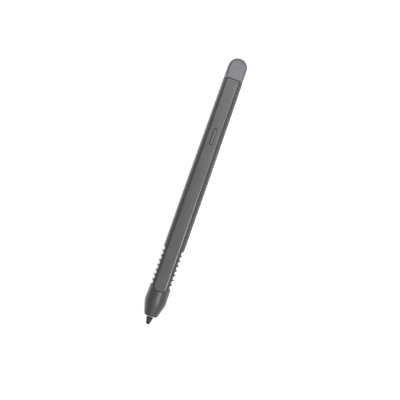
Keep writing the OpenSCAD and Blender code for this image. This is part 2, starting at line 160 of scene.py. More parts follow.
class StylusTrim(bpy.types.PropertyGroup):
    """Sizes of the cover, the cap, the button and the nib"""

    cover_bevel: length("Cover bevel", "Width of the bevel around the cover", 0.3)
    cover_fall: length("Cover bevel depth", "Depth of the bevel around the cover", 0.065)
    cover_crown: length("Cover crown", "How far the cover's middle stands above its edges", 0.03)
    cover_corner: length("Cover corner", "Radius of the cover's front corners", 1.9)
    slot_length: length("Slot length", "Length of the button's slot", 7.1)
    slot_width: length("Slot width", "Width of the button's slot", 1.4)
    slot_edge: length("Slot edge", "Size of the chamfer around the slot", 0.05)
    button_gap: length("Button gap", "Gap around the button in its slot", 0.2)
    button_edge: length("Button edge", "Radius of the button's upper edge", 0.16)
    cap_bevel: length("Cap bevel", "Width of the rounded edge around the cap's face", 1.15)
    cap_foot: length("Cap foot", "Radius of the cap's lower edge", 1.6)
    nib_point: length("Nib point", "Radius of the nib's rounded tip", 0.9)
    nib_length: length("Nib length", "Length of the nib's cone with its point", 3.1)
    nib_shank: length("Nib shank", "Diameter of the nib's shank", 1.6)
    block_length: length("Capacitor length", "Length of a small capacitor on the board", 1.0)
    block_pitch: length("Capacitor pitch", "Distance between neighbouring capacitors", 0.9)
    block_side: length("Capacitor offset", "Distance from the axis to each row", 1.7)
    block_groups: FloatVectorProperty(
        name="Capacitor groups", description="Distances from the tip to each group's first pair",
        default=(69.8 * MM, 86.2 * MM, 96.6 * MM), size=3, unit="LENGTH", precision=5,
    )
    spring_turns: IntProperty(
        name="Spring turns", description="Number of turns of the return spring", default=6, min=3
    )


class StylusFinish(bpy.types.PropertyGroup):
    """Main colours of the outside"""

    barrel: colour("Barrel", "Paint of the barrel", "#343434")
    cover: colour("Cover", "Paint of the cover", "#3d3c3e")
    cap: colour("Cap", "Resin of the cap", "#56585b")
    button: colour("Button", "Resin of the button", "#454448")
    nib: colour("Nib", "Resin of the nib", "#1e1e1f")
    ring: colour("Ring", "Plating of the ring", "#b9b9b6")


class StylusStage(bpy.types.PropertyGroup):
    """Camera and lights"""

    turn: FloatProperty(
        name="Turn", description="How far the pen is turned from the picture's upright",
        default=math.radians(19.35), subtype="ANGLE",
    )
    elevation: FloatProperty(
        name="Elevation", description="Height of the camera above the horizon",
        default=math.radians(87), subtype="ANGLE",
    )
    distance: length("Distance", "Distance from the camera to the pen", 250)
    lens: FloatProperty(name="Lens", description="Focal length", default=54.5, subtype="DISTANCE_CAMERA")
    aim_right: length("Aim right", "How far right of the pen's middle the camera aims", 2.3)
    aim_down: length("Aim down", "How far below the pen's middle the camera aims", 3.8)
    world: FloatProperty(name="Room light", description="Brightness of the pale room", default=0.7)
    slant: FloatProperty(
        name="Slant", description="How much brighter the room is on the pen's right than on its left",
        default=0.35,
    )


# ---------------------------------------------------------------- mesh helpers


def finished(name, mesh_data, material):
    """An object at the origin, smooth except at its creases."""
    mesh_data.shade_smooth()
    mesh_data.set_sharp_from_angle(angle=CREASE)
    piece = bpy.data.objects.new(name, mesh_data)
    bpy.context.scene.collection.objects.link(piece)
    mesh_data.materials.clear()
    mesh_data.materials.append(material)
    return piece


def stacked(name, rings, material):
    """A closed piece through rings of points. All rings have the same number of points."""
    mesh = bmesh.new()
    loops = [[mesh.verts.new(at(*point)) for point in ring] for ring in rings]
    for low, high in zip(loops, loops[1:]):
        for k, corner in enumerate(low):
            mesh.faces.new((low[k - 1], corner, high[k], high[k - 1]))
    mesh.faces.new(list(reversed(loops[0])))
    mesh.faces.new(loops[-1])
    bmesh.ops.remove_doubles(mesh, verts=mesh.verts, dist=WELD)
    bmesh.ops.dissolve_degenerate(mesh, edges=mesh.edges, dist=WELD)
    bmesh.ops.recalc_face_normals(mesh, faces=mesh.faces)
    data = bpy.data.meshes.new(name)
    mesh.to_mesh(data)
    mesh.free()
    return finished(name, data, material)


def baked(piece):
    """Applies every modifier of a piece, so that a plain mesh is left."""
    graph = bpy.context.evaluated_depsgraph_get()
    plain = bpy.data.meshes.new_from_object(piece.evaluated_get(graph), depsgraph=graph)
    plain.name = piece.name
    piece.modifiers.clear()
    piece.data = plain


def combined(piece, tools, operation):
    """Cuts the tools from a piece, or joins them to it, and deletes them."""
    for tool in tools:
        modifier = piece.modifiers.new(operation, "BOOLEAN")
        modifier.operation = operation
        modifier.solver = "EXACT"
        modifier.object = tool
    baked(piece)
    for tool in tools:
        bpy.data.objects.remove(tool)
    material = piece.data.materials[0]
    piece.data.materials.clear()
    piece.data.materials.append(material)
    piece.data.shade_smooth()
    piece.data.set_sharp_from_angle(angle=CREASE)


def circle(along, radius, count=64):
    """A ring of points around the nib's axis."""
    turns = [2 * math.pi * k / count for k in range(count)]
    return [(along, radius * math.cos(a), radius * math.sin(a)) for a in turns]


def turned(name, profile, material, count=64):
    """A piece turned on a lathe around the nib's axis, from (along, radius) points."""
    return stacked(name, [circle(along, radius, count) for along, radius in profile], material)


def block(low, high, material, edge=0.0):
    """A box between two corners, with its edges along the pen chamfered."""
    (x0, y0, z0), (x1, y1, z1) = low, high
    outline = [
        (y0 + edge, z0), (y1 - edge, z0), (y1, z0 + edge), (y1, z1 - edge),
        (y1 - edge, z1), (y0 + edge, z1), (y0, z1 - edge), (y0, z0 + edge),
    ]
    return stacked("block", [[(x, y, z) for y, z in outline] for x in (x0, x1)], material)


def arc(start, end, steps):
    """Angles in radians from start to end, both in degrees and both included."""
    return [math.radians(start + (end - start) * k / steps) for k in range(steps + 1)]


def mix(a, b, share):
    """A value between two others, at a share of the way from the first to the second."""
    return a + (b - a) * share


def spaced(start, end, size):
    """Values from start towards end, about a size apart, without end itself."""
    count = max(1, round((end - start) / size))
    return [mix(start, end, k / count) for k in range(count)]


def soft_min(a, b, softness):
    """The smaller of two values, with a rounded change from one to the other."""
    near = max(softness - abs(a - b), 0) / softness
    return min(a, b) - near * near * softness / 4


def edge_drop(distance, radius):
    """How far a rounded edge falls away at a distance from the edge's line."""
    inside = radius - min(max(distance, 0), radius)
    return radius - math.sqrt(radius * radius - inside * inside)


# ---------------------------------------------------------------- node helpers


NOISE = "ShaderNodeTexNoise"
RANGE = "ShaderNodeMapRange"
MIX = "ShaderNodeMix"
BUMP = "ShaderNodeBump"
MATH = "ShaderNodeMath"
VECTOR_MATH = "ShaderNodeVectorMath"
JOIN_XYZ = "ShaderNodeCombineXYZ"
FLOAT = "NodeSocketFloat"
INTEGER = "NodeSocketInt"
MATERIAL = "NodeSocketMaterial"


def fill(tree, node, inputs):
    """Fills a node's inputs with values, or links them to other nodes' outputs."""
    for socket, value in inputs.items():
        if isinstance(value, bpy.types.NodeSocket):
            tree.links.new(value, node.inputs[socket])
        else:
            node.inputs[socket].default_value = value
    return node


def add(tree, kind, inputs=None, **settings):
    """Adds a node, makes its settings, and fills or links its inputs."""
    node = tree.nodes.new(kind)
    for name, value in settings.items():
        setattr(node, name, value)
    return fill(tree, node, inputs or {})


def geometry_tree(name, sockets):
    """A geometry node group with named inputs, its input node and its output node."""
    tree = bpy.data.node_groups.new(name, "GeometryNodeTree")
    tree.interface.new_socket("Geometry", in_out="INPUT", socket_type="NodeSocketGeometry")
    tree.interface.new_socket("Geometry", in_out="OUTPUT", socket_type="NodeSocketGeometry")
    for label, kind in sockets:
        tree.interface.new_socket(label, in_out="INPUT", socket_type=kind)
    return tree, tree.nodes.new("NodeGroupInput"), tree.nodes.new("NodeGroupOutput")


def grown(piece, tree, values):
    """Runs a geometry node group on a piece and leaves its result as a plain mesh."""
    modifier = piece.modifiers.new(tree.name, "NODES")
    modifier.node_group = tree
    sockets = {item.name: item.identifier for item in tree.interface.items_tree if item.in_out == "INPUT"}
    for label, value in values.items():
        modifier[sockets[label]] = value
    baked(piece)


# ---------------------------------------------------------------- finishes


def per(size_mm):
    """How many times a pattern of that size in millimetres repeats in one metre."""
    return 1 / (size_mm * MM)


def begun(name, base, roughness, **constant):
    """A material whose constant values sit on the shader's own sockets."""
    material = bpy.data.materials.new(name)
    material.use_nodes = True
    tree = material.node_tree
    values = {label.replace("_", " "): value for label, value in constant.items()}
    shader = fill(tree, tree.nodes["Principled BSDF"], {"Base Color": base, "Roughness": roughness, **values})
    place = add(tree, "ShaderNodeTexCoord").outputs["Object"]
    return material, tree, shader, place


def shade(base, factor):
    """A colour made lighter or darker."""
    return (*[min(1.0, c * factor) for c in base[:3]], 1.0)


def sprayed_resin(name, base, gloss=0.3, grain_mm=0.16):
    """PC-ABS moulding, sprayed with a satin grey paint.

    The eye sees an even satin with a soft wide gloss, a fine orange-peel grain, slow cloudy
    changes of tint and shine from handling, and edges rubbed a little brighter.
    The real grain is about 0.05 mm, and is drawn coarser here so that it shows.
    """
    material, tree, shader, place = begun(name, base, gloss, Metallic=0.1, IOR=1.5)
    warm = (base[0] * 1.06, base[1] * 0.99, base[2] * 1.02, 1.0)
    cool = (base[0] * 0.99, base[1] * 0.995, base[2] * 0.98, 1.0)

    # Tint: slow drifts from cool to warm, with lighter and darker clouds in them
    slow = add(tree, NOISE, {"Vector": place, "Scale": per(30), "Detail": 1.0}).outputs[0]
    slow = add(tree, RANGE, {"Value": slow, "From Min": 0.4, "From Max": 0.6}).outputs[0]
    drift = add(tree, MIX, {0: slow, 6: cool, 7: warm}, data_type="RGBA").outputs[2]
    cloud = add(tree, NOISE, {"Vector": place, "Scale": per(7), "Detail": 4.0}).outputs[0]
    cloud = add(tree, RANGE, {"Value": cloud, "From Min": 0.3, "From Max": 0.7}).outputs[0]
    deep = add(tree, MIX, {0: cloud, 6: (0.93, 0.93, 0.93, 1), 7: (1.07, 1.07, 1.07, 1)}, data_type="RGBA")
    tint = add(
        tree, MIX, {0: 1.0, 6: drift, 7: deep.outputs[2]}, data_type="RGBA", blend_type="MULTIPLY"
    ).outputs[2]

    # Grain: paler specks on its peaks
    grain = add(tree, NOISE, {"Vector": place, "Scale": per(grain_mm), "Detail": 2.0}).outputs[0]
    speck = add(tree, RANGE, {"Value": grain, "From Min": 0.45, "From Max": 0.75, "To Max": 0.1}).outputs[0]
    specked = add(tree, MIX, {0: speck, 6: tint, 7: shade(base, 1.5)}, data_type="RGBA").outputs[2]

    # Wear: convex edges, rubbed in patches
    convex = add(tree, "ShaderNodeNewGeometry").outputs["Pointiness"]
    worn = add(tree, RANGE, {"Value": convex, "From Min": 0.515, "From Max": 0.60}).outputs[0]
    patch = add(tree, NOISE, {"Vector": place, "Scale": per(1.3), "Detail": 4.0}).outputs[0]
    patch = add(tree, RANGE, {"Value": patch, "From Min": 0.3, "From Max": 0.7, "To Max": 0.45}).outputs[0]
    rub = add(tree, MATH, {0: worn, 1: patch}, operation="MULTIPLY").outputs[0]
    rubbed = add(tree, MIX, {0: rub, 6: specked, 7: shade(base, 2.1)}, data_type="RGBA").outputs[2]

    # Shine: duller and glossier where it was handled
    hands = add(tree, NOISE, {"Vector": place, "Scale": per(3.1), "Detail": 5.0}).outputs[0]
    shine = add(tree, RANGE, {
        "Value": hands, "From Min": 0.3, "From Max": 0.7, "To Min": gloss - 0.03, "To Max": gloss + 0.05,
    }).outputs[0]
    peel = add(tree, BUMP, {"Height": grain, "Distance": 0.008 * MM, "Strength": 0.25}).outputs[0]
    fill(tree, shader, {"Base Color": rubbed, "Roughness": shine, "Normal": peel})
    return material


def moulded_resin(name, base, roughness=0.4, grain_mm=0.12, flow_mm=5.0):
    """Resin moulded in a finely sparked tool: an even satin, a fine grain and faint flow clouds."""
    material, tree, shader, place = begun(name, base, roughness, IOR=1.5)
    flow = add(tree, NOISE, {"Vector": place, "Scale": per(flow_mm), "Detail": 4.0}).outputs[0]
    flow = add(tree, RANGE, {"Value": flow, "From Min": 0.3, "From Max": 0.7}).outputs[0]
    tint = add(tree, MIX, {0: flow, 6: shade(base, 0.92), 7: shade(base, 1.08)}, data_type="RGBA").outputs[2]
    patch = add(tree, NOISE, {"Vector": place, "Scale": per(1.7), "Detail": 4.0}).outputs[0]
    shine = add(tree, RANGE, {
        "Value": patch, "From Min": 0.3, "From Max": 0.7,
        "To Min": roughness - 0.05, "To Max": roughness + 0.07,
    }).outputs[0]
    grain = add(tree, NOISE, {"Vector": place, "Scale": per(grain_mm), "Detail": 2.0}).outputs[0]
    sparked = add(tree, BUMP, {"Height": grain, "Distance": 0.01 * MM, "Strength": 0.3}).outputs[0]
    fill(tree, shader, {"Base Color": tint, "Roughness": shine, "Normal": sparked})
    return material


def acetal_nib(name, base):
    """Acetal turned to a point: dark and dull, polished paler at the tip where it rubs on glass."""
    material, tree, shader, place = begun(name, base, 0.5, IOR=1.48)
    along = add(tree, "ShaderNodeSeparateXYZ", {"Vector": place}).outputs["X"]
    rubbed = add(tree, RANGE, {
        "Value": along, "From Min": TIP_X, "From Max": TIP_X + 0.5 * MM, "To Min": 1.0, "To Max": 0.0,
    }).outputs[0]
    scuff = add(tree, NOISE, {"Vector": place, "Scale": per(0.2), "Detail": 3.0}).outputs[0]
    scuff = add(tree, RANGE, {
        "Value": scuff, "From Min": 0.3, "From Max": 0.7, "To Min": 0.2, "To Max": 0.6,
    }).outputs[0]
    scuffed = add(tree, MATH, {0: rubbed, 1: scuff}, operation="MULTIPLY").outputs[0]
    tint = add(tree, MIX, {0: scuffed, 6: base, 7: shade(base, 2.4)}, data_type="RGBA").outputs[2]
    shine = add(tree, RANGE, {"Value": rubbed, "To Min": 0.5, "To Max": 0.3}).outputs[0]
    wave = {"Vector": place, "Scale": per(1.6), "Distortion": 0.4}
    rings = add(tree, "ShaderNodeTexWave", wave, bands_direction="X").outputs["Fac"]
    turned_rings = add(tree, BUMP, {"Height": rings, "Distance": 0.004 * MM, "Strength": 0.4}).outputs[0]
    fill(tree, shader, {"Base Color": tint, "Roughness": shine, "Normal": turned_rings})
    return material


def worked_metal(name, base, roughness, lines_mm, turned_lines=True):
    """Metal that was turned, drawn or rolled: sharp gloss with fine lines along the tool's way."""
    material, tree, shader, place = begun(name, base, roughness, Metallic=1.0)
    fine, slow = per(lines_mm), per(2.0)
    stretch = (fine, slow, slow) if turned_lines else (slow, fine, fine)
    drawn = add(tree, "ShaderNodeMapping", {"Vector": place, "Scale": stretch}).outputs[0]
    lines = add(tree, NOISE, {"Vector": drawn, "Scale": 1.0, "Detail": 2.0}).outputs[0]
    shine = add(tree, RANGE, {
        "Value": lines, "From Min": 0.3, "From Max": 0.7,
        "To Min": max(0.05, roughness - 0.08), "To Max": roughness + 0.1,
    }).outputs[0]
    tone = add(tree, RANGE, {"Value": lines, "From Min": 0.3, "From Max": 0.7}).outputs[0]
    tint = add(tree, MIX, {0: tone, 6: shade(base, 0.9), 7: base}, data_type="RGBA").outputs[2]
    scored = add(tree, BUMP, {"Height": lines, "Distance": 0.003 * MM, "Strength": 0.4}).outputs[0]
    fill(tree, shader, {"Base Color": tint, "Roughness": shine, "Normal": scored})
    return material


def plated_metal(name, base, roughness=0.22):
    """Nickel or gold plating over metal: bright, faintly pebbled, a little duller in patches."""
    material, tree, shader, place = begun(name, base, roughness, Metallic=1.0)
    patch = add(tree, NOISE, {"Vector": place, "Scale": per(0.8), "Detail": 4.0}).outputs[0]
    shine = add(tree, RANGE, {
        "Value": patch, "From Min": 0.3, "From Max": 0.7,
        "To Min": roughness - 0.06, "To Max": roughness + 0.12,
    }).outputs[0]
    tarnish = add(tree, NOISE, {"Vector": place, "Scale": per(1.6), "Detail": 4.0}).outputs[0]
    tarnish = add(tree, RANGE, {
        "Value": tarnish, "From Min": 0.45, "From Max": 0.8, "To Max": 0.5,
    }).outputs[0]
    tint = add(tree, MIX, {0: tarnish, 6: base, 7: shade(base, 0.72)}, data_type="RGBA").outputs[2]
    pebbles = add(tree, NOISE, {"Vector": place, "Scale": per(0.1), "Detail": 2.0}).outputs[0]
    pebbled = add(tree, BUMP, {"Height": pebbles, "Distance": 0.002 * MM, "Strength": 0.4}).outputs[0]
    fill(tree, shader, {"Base Color": tint, "Roughness": shine, "Normal": pebbled})
    return material


def cured_rubber(name, base, pore_mm=0.1):
    """Silicone or foam rubber: dull, dusty and slightly uneven, with fine pores."""
    material, tree, shader, place = begun(
        name, base, 0.75, IOR=1.42, Sheen_Weight=0.15, Sheen_Roughness=0.5
    )
    dust = add(tree, NOISE, {"Vector": place, "Scale": per(1.2), "Detail": 5.0}).outputs[0]
    dust = add(tree, RANGE, {"Value": dust, "From Min": 0.3, "From Max": 0.7}).outputs[0]
    tint = add(tree, MIX, {0: dust, 6: shade(base, 0.85), 7: shade(base, 1.25)}, data_type="RGBA").outputs[2]
    pores = add(tree, "ShaderNodeTexVoronoi", {"Vector": place, "Scale": per(pore_mm)}).outputs["Distance"]
    porous = add(tree, BUMP, {"Height": pores, "Distance": 0.02 * MM, "Strength": 0.6}).outputs[0]
    fill(tree, shader, {"Base Color": tint, "Normal": porous})
    return material


def coated_film(name, base, roughness=0.25):
    """Polyimide film, solder mask or shrink sleeve: a thin glossy coat with slow ripples."""
    material, tree, shader, place = begun(
        name, base, roughness, IOR=1.55, Coat_Weight=0.5, Coat_Roughness=0.12
    )
    ripple = add(tree, NOISE, {"Vector": place, "Scale": per(1.5), "Detail": 2.0}).outputs[0]
    tone = add(tree, RANGE, {"Value": ripple, "From Min": 0.3, "From Max": 0.7}).outputs[0]
    tint = add(tree, MIX, {0: tone, 6: shade(base, 0.88), 7: shade(base, 1.12)}, data_type="RGBA").outputs[2]
    rippled = add(tree, BUMP, {"Height": ripple, "Distance": 0.02 * MM, "Strength": 0.5}).outputs[0]
    fill(tree, shader, {"Base Color": tint, "Normal": rippled})
    return material


def routed_board(name, base, track):
    """Glass-epoxy board under green mask: paler where copper tracks run beneath the mask."""
    material, tree, shader, place = begun(name, base, 0.3, IOR=1.55, Coat_Weight=0.6, Coat_Roughness=0.1)
    cells = add(tree, "ShaderNodeTexBrick", {
        "Vector": place, "Scale": per(1.6), "Mortar Size": 0.03, "Color1": base, "Color2": shade(base, 0.9),
        "Mortar": track,
    }).outputs["Color"]
    weave = add(tree, "ShaderNodeTexWave", {"Vector": place, "Scale": per(0.5)}).outputs["Fac"]
    woven = add(tree, BUMP, {"Height": weave, "Distance": 0.004 * MM, "Strength": 0.4}).outputs[0]
    fill(tree, shader, {"Base Color": cells, "Normal": woven})
    return material


def sintered(name, base, grain_mm=0.08):
    """Ceramic or ferrite, pressed and fired: matt, finely granular, with scattered darker grains."""
    material, tree, shader, place = begun(name, base, 0.6, IOR=1.7)
    grains = add(tree, NOISE, {"Vector": place, "Scale": per(grain_mm), "Detail": 3.0}).outputs[0]
    tone = add(tree, RANGE, {"Value": grains, "From Min": 0.3, "From Max": 0.7}).outputs[0]
    tint = add(tree, MIX, {0: tone, 6: shade(base, 0.75), 7: shade(base, 1.15)}, data_type="RGBA").outputs[2]
    granular = add(tree, BUMP, {"Height": grains, "Distance": 0.008 * MM, "Strength": 0.6}).outputs[0]
    fill(tree, shader, {"Base Color": tint, "Normal": granular})
    return material


# The kept frame nodes: the node's name, how its material is made, and with what
KEPT = [
    ("cap_gasket", cured_rubber, ("silicone_gasket", linear("#505155"))),
    ("cover_adhesive", cured_rubber, ("acrylic_foam_tape", linear("#18181a"), 0.06)),
    ("cell_pad", cured_rubber, ("urethane_foam_pad", linear("#2a2b2d"), 0.2)),
    ("switch_base", moulded_resin, ("liquid_crystal_polymer", linear("#c9c6bb"), 0.5)),
    ("switch_plunger", moulded_resin, ("acetal_plunger", linear("#1d1d1f"), 0.35)),
    ("nib_bush", moulded_resin, ("natural_acetal_bush", linear("#e4e2dc"), 0.35)),
    ("sensor_plunger", moulded_resin, ("natural_acetal_rod", linear("#dcd9cf"), 0.35)),
    ("sensor_housing", moulded_resin, ("glass_filled_nylon_housing", linear("#2f3134"), 0.55)),
    ("carrier", moulded_resin, ("glass_filled_nylon_frame", linear("#26282b"), 0.55)),
    ("controller_chip", moulded_resin, ("moulded_epoxy_large", linear("#1c1d20"), 0.6)),
    ("power_chip", moulded_resin, ("moulded_epoxy_small", linear("#1f2023"), 0.6)),
    ("shield_tube", worked_metal, ("drawn_brass", linear("#c79a4b"), 0.28, 0.15, False)),
    ("nib_holder", worked_metal, ("turned_steel", linear("#b9bbbe"), 0.25, 0.08)),
    ("sensor_die", worked_metal, ("lapped_alloy", linear("#7d868f"), 0.35, 0.1)),
    ("cell_terminal", worked_metal, ("turned_nickel_pin", linear("#cfcdc4"), 0.25, 0.08)),
    ("cell", coated_film, ("sleeved_cell", linear("#8fa89b"), 0.3)),
    ("sensor_flex", coated_film, ("polyimide_flex", linear("#b06a18"), 0.25)),
    ("sensor_base", sintered, ("alumina_base", linear("#e6e3da"))),
    ("inductor", sintered, ("ferrite_block", linear("#48484b"), 0.12)),
    ("cell_tabs", plated_metal, ("nickel_strip", linear("#c4c2ba"), 0.3)),
    ("crystal", plated_metal, ("nickel_lid", linear("#cfcdc6"), 0.25)),
    ("shield_can", plated_metal, ("tinned_steel_can", linear("#bfc1c4"), 0.3)),
    ("charge_contacts", plated_metal, ("hard_gold_pads", linear("#e0b45c"), 0.2)),
    ("circuit_board", routed_board, ("masked_glass_epoxy", linear("#1b5a3a"), linear("#3f8f5c"))),
]


# ---------------------------------------------------------------- barrel


def barrel_section(s, along, gasket_side):
    """Half-width, top, bottom and the two corner radii of the barrel at a station."""
    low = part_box("barrel")[0].z - AXIS_Z
    front = reach("barrel")[0].x
    taper = (along - front) / (s.taper_start - front)
    taper_softness = 0.22
    grown_share = soft_min(taper, 1, taper_softness)
    step_length = 0.5 * MM
    step_start = s.grip_start - step_length
    widest = s.nose_width / 2
    nose = mix(s.grip_width / 2, widest, (step_start - along) / (step_start - s.taper_start))
    cone = mix(s.nose_end / 2, widest, taper)
    if along < step_start:
        half = soft_min(cone, nose, 0.4 * MM)
    elif along < s.middle_at:
        share = max(0, along - s.grip_start) / (s.middle_at - s.grip_start)
        half = mix(s.grip_width, s.middle_width, share) / 2
    else:
        share = (along - s.middle_at) / (gasket_side - s.middle_at)
        half = mix(s.middle_width, s.rear_width, share) / 2
    fall = min(max((along - step_start) / step_length, 0), 1)
    end_radius = s.nose_end / 2
    top = mix(mix(end_radius, s.nose_top, grown_share), s.back_top, fall)
    bottom = mix(-end_radius, low, grown_share)
    upper = mix(mix(end_radius, s.nose_round, grown_share), s.upper_round, fall)
    lower = mix(end_radius, s.lower_round, grown_share)
    inset = edge_drop(along - front, s.nose_edge) + edge_drop(gasket_side - along, s.rim_edge)
    return half - inset, top - inset, bottom + inset, upper - inset, lower - inset


def surface_height(across, half, top, upper):
    """Height of the barrel's upper surface at a distance from its middle."""
    past = max(across - (half - upper), 0)
    return top - upper + math.sqrt(max(upper * upper - past * past, 0))


def barrel_ring(along, section, pocket, inside):
    """One ring of points around the barrel, with the cover's pocket in its top."""
    half, top, bottom, upper, lower = section
    front, corner, wide, floor, rim = pocket
    narrow = wide - corner
    centre = front + corner
    into = min(max(centre - along, 0), corner)
    lip = narrow + math.sqrt(corner * corner - into * into)

    def height(across):
        if across <= narrow:
            away = front - along
        elif along < centre:
            away = math.hypot(centre - along, across - narrow) - corner
        else:
            away = across - wide
        return surface_height(across, half, top, upper) - edge_drop(away, rim)

    points = [(share * (half - lower), bottom) for share in (0, 1 / 3, 2 / 3, 1)]
    low_y, low_z = half - lower, bottom + lower
    points += [(low_y + lower * math.cos(a), low_z + lower * math.sin(a)) for a in arc(-90, 0, 9)[1:]]
    points += [(half, mix(low_z, top - upper, share)) for share in (0.25, 0.5, 0.75)]
    high_y, high_z = half - upper, top - upper
    turn = math.degrees(math.acos(min(max((lip + rim - high_y) / upper, 0), 1)))
    points += [(high_y + upper * math.cos(a), high_z + upper * math.sin(a)) for a in arc(0, turn, 12)]
    for a in arc(0, 90, 5):
        across = lip + rim * (1 - math.sin(a))
        points.append((across, height(across)))
    for share in (1, 0.75, 0.5, 0.25, 0):
        across = share * lip
        points.append((across, floor if inside else height(across)))
    mirrored = [(-across, up) for across, up in reversed(points[1:-1])]
    return [(along, across, up) for across, up in points + mirrored]


def barrel_stations(s, front, pocket_front, corner, rear):
    """Where the barrel's rings stand, close together where the shape turns."""
    bend_start = s.taper_start - 1.6 * MM
    bend_end = s.taper_start + 1.4 * MM
    near_pocket = pocket_front - 0.5 * MM
    near_rear = rear - 0.5 * MM
    grip_end = s.grip_start + s.notch_count * s.notch_pitch
    chord = (s.notch_pitch - s.rib_tip) / 2
    stations = [front + s.nose_edge * (1 - math.cos(a)) for a in arc(0, 90, 5)[:-1]]
    stations += spaced(front + s.nose_edge, bend_start, 0.6 * MM)
    stations += spaced(bend_start, bend_end, 0.15 * MM)
    stations += spaced(bend_end, near_pocket, 0.4 * MM)
    stations += [near_pocket, pocket_front - 0.3 * MM]
    stations += [pocket_front - s.rim_edge * (1 - math.sin(a)) for a in arc(0, 90, 5)]
    outside = len(stations)
    stations += [pocket_front + corner * (1 - math.cos(a)) for a in arc(0, 90, 14)]
    stations += spaced(pocket_front + corner + 0.1 * MM, s.grip_start, 0.1 * MM)
    for k in range(s.notch_count):
        root = s.grip_start + (k + 0.5) * s.notch_pitch
        stations += [root - chord - s.rib_tip / 2]
        stations += [root + chord * math.sin(a) for a in arc(-90, 90, 18)]
    stations += spaced(grip_end, s.middle_at, 3 * MM)
    stations += spaced(s.middle_at, near_rear, 3 * MM)
    stations += [near_rear]
    stations += [rear - s.rim_edge * (1 - math.sin(a)) for a in arc(0, 90, 4)]
    return stations, outside


def notch_tree():
    """Presses a row of round notches into both sides of a barrel."""
    tree, given, result = geometry_tree("grip_notches", [
        ("First Root", FLOAT), ("Half Pitch", FLOAT), ("Middle", FLOAT), ("Half Length", FLOAT),
        ("Radius", FLOAT), ("Centre", FLOAT), ("Edge", FLOAT), ("Material", MATERIAL),
    ])
    sizes = given.outputs
    place = add(tree, "GeometryNodeInputPosition").outputs[0]
    split = add(tree, "ShaderNodeSeparateXYZ", {0: place}).outputs

    # Distance along the pen to the nearest notch's root, and the notch's wall at that distance
    past = add(tree, MATH, {0: split["X"], 1: sizes["First Root"]}, operation="SUBTRACT").outputs[0]
    off = add(tree, MATH, {0: past, 1: sizes["Half Pitch"]}, operation="PINGPONG").outputs[0]
    off_square = add(tree, MATH, {0: off, 1: off}, operation="MULTIPLY").outputs[0]
    square = add(tree, MATH, {0: sizes["Radius"], 1: sizes["Radius"]}, operation="MULTIPLY").outputs[0]
    left = add(tree, MATH, {0: square, 1: off_square}, operation="SUBTRACT").outputs[0]
    real = add(tree, MATH, {0: left, 1: 0.0}, operation="MAXIMUM").outputs[0]
    bulge = add(tree, MATH, {0: real}, operation="SQRT").outputs[0]
    wall = add(tree, MATH, {0: sizes["Centre"], 1: bulge}, operation="SUBTRACT").outputs[0]

    # Points that stand outside the wall move in to it, on both sides
    wide = add(tree, MATH, {0: split["Y"]}, operation="ABSOLUTE").outputs[0]
    pressed = add(tree, MATH, {0: wide, 1: wall, 2: sizes["Edge"]}, operation="SMOOTH_MIN").outputs[0]
    side = add(tree, MATH, {0: split["Y"]}, operation="SIGN").outputs[0]
    across = add(tree, MATH, {0: pressed, 1: side}, operation="MULTIPLY").outputs[0]
    moved = add(tree, JOIN_XYZ, {"X": split["X"], "Y": across, "Z": split["Z"]}).outputs[0]
    span = {0: split["X"], 1: sizes["Middle"], 2: sizes["Half Length"]}
    in_grip = add(tree, MATH, span, operation="COMPARE").outputs[0]
    shaped = add(tree, "GeometryNodeSetPosition", {
        "Geometry": sizes["Geometry"], "Selection": in_grip, "Position": moved,
    }).outputs[0]
    whole = add(tree, "GeometryNodeRealizeInstances", {"Geometry": shaped}).outputs[0]
    coated = add(tree, "GeometryNodeSetMaterial", {"Geometry": whole, "Material": sizes["Material"]})
    fill(tree, result, {"Geometry": coated.outputs[0]})
    return tree


def barrel_cutters(material):
    """The bores, the long cavity with its narrower mouth, and the contacts' windows."""
    gap = 0.05 * MM
    past = 2 * MM
    ring_low, ring_high = reach("ring_electrode")
    tube_low, tube_high = reach("shield_tube")
    carrier_low, carrier_high = reach("carrier")
    housing_low, housing_high = reach("sensor_housing")
    barrel_high = reach("barrel")[1]
    bush_front = reach("nib_bush")[0].x
    adhesive_low = reach("cover_adhesive")[0]
    pads_low, pads_high = reach("charge_contacts")
    bore_end = adhesive_low.x - 0.5 * MM
    floor = carrier_low.z - gap
    ledge = adhesive_low.z - 0.5 * MM
    narrow = 2.6 * MM
    wide = carrier_high.y + 2 * gap
    narrow_end = carrier_low.x + 9.55 * MM
    mouth = 2.2 * MM
    pad_half = 1.1 * MM + gap
    rear = barrel_high.x + past
    cutters = [
        turned("ring_bore", [(x, ring_high.y + 0.02 * MM) for x in (0, bush_front)], material),
        turned("tube_bore", [(x, tube_high.y + gap) for x in (bush_front - gap, bore_end + MM)], material),
        block((bore_end, -narrow, floor), (narrow_end, narrow, ledge), material),
        block((narrow_end - gap, -wide, floor), (rear, wide, ledge), material),
        block((bore_end, -mouth, floor + gap), (rear - MM, mouth, adhesive_low.z + past), material),
    ]
    for middle in (pads_low.x + pad_half - gap, pads_high.x - pad_half + gap):
        cutters.append(block(
            (middle - pad_half, pads_low.y - gap, pads_low.z - past),
            (middle + pad_half, pads_high.y + gap, floor + MM), material,
        ))
    return cutters


